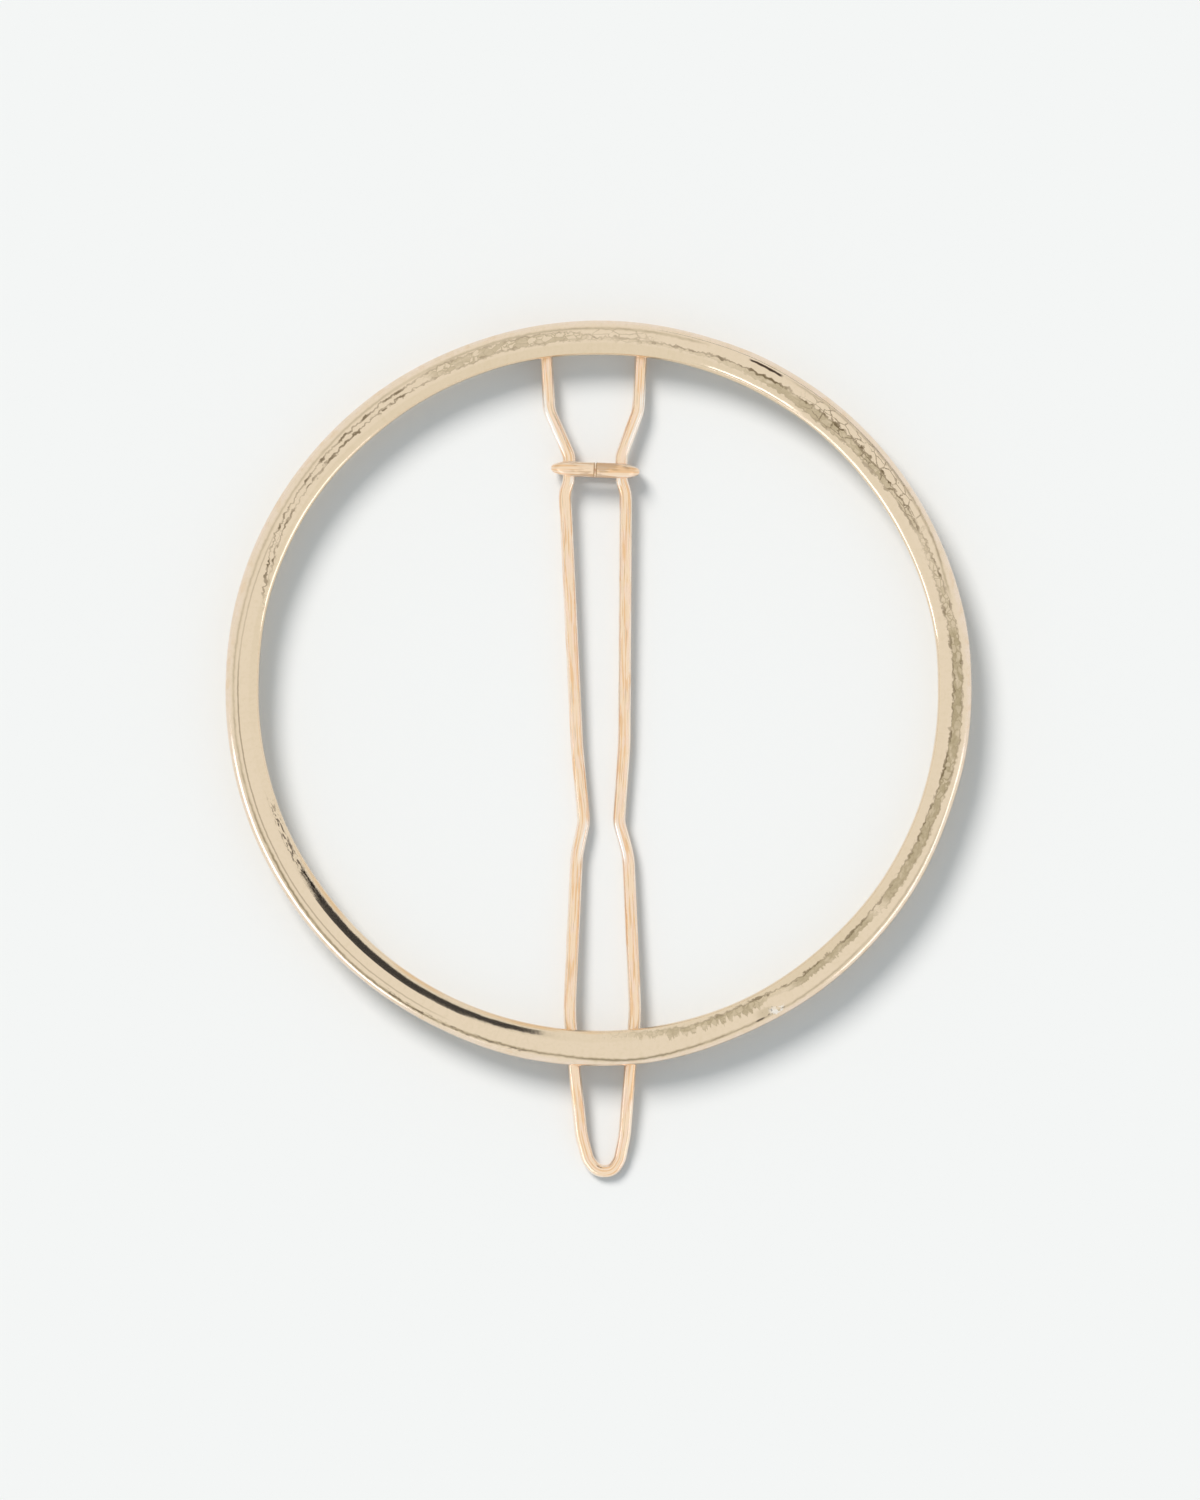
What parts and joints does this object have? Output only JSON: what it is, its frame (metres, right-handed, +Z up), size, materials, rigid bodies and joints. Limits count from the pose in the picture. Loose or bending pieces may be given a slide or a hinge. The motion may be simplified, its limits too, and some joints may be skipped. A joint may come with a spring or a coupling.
{
  "type": "hair clip",
  "caption": "Open-circle hair clip: a domed gold ring with a sprung wire tongue hinged behind it.",
  "frame": {"origin": "on the surface that the clip lies on, under the middle of its bounding box", "axes": "+Z up, the way the ring's domed front faces; +Y along the clip from the tongue's tip to the hinge; +X to the right in the front view"},
  "size_m": [0.053, 0.061, 0.0034],
  "materials": {
    "ring_plating": "polished casting, pale champagne gold plating",
    "wire_plating": "smooth drawn spring wire, peach gold plating"
  },
  "bodies": {
    "tongue": {"spring_wire": "wire_plating", "neck_band": "wire_plating"},
    "ring_frame": {"ring": "ring_plating", "hinge_lug_left": "ring_plating", "hinge_lug_right": "ring_plating"}
  },
  "joints": [
    {"name": "ring_hinge", "type": "hinge", "parent": "tongue", "child": "ring_frame", "pos_m": [-0.00034, 0.0288, 0.00097], "axis": [-1, 0, 0], "range_deg": [0, 50], "stiffness_Nm_per_rad": 0.03, "springref_deg": -34.38}
  ]
}
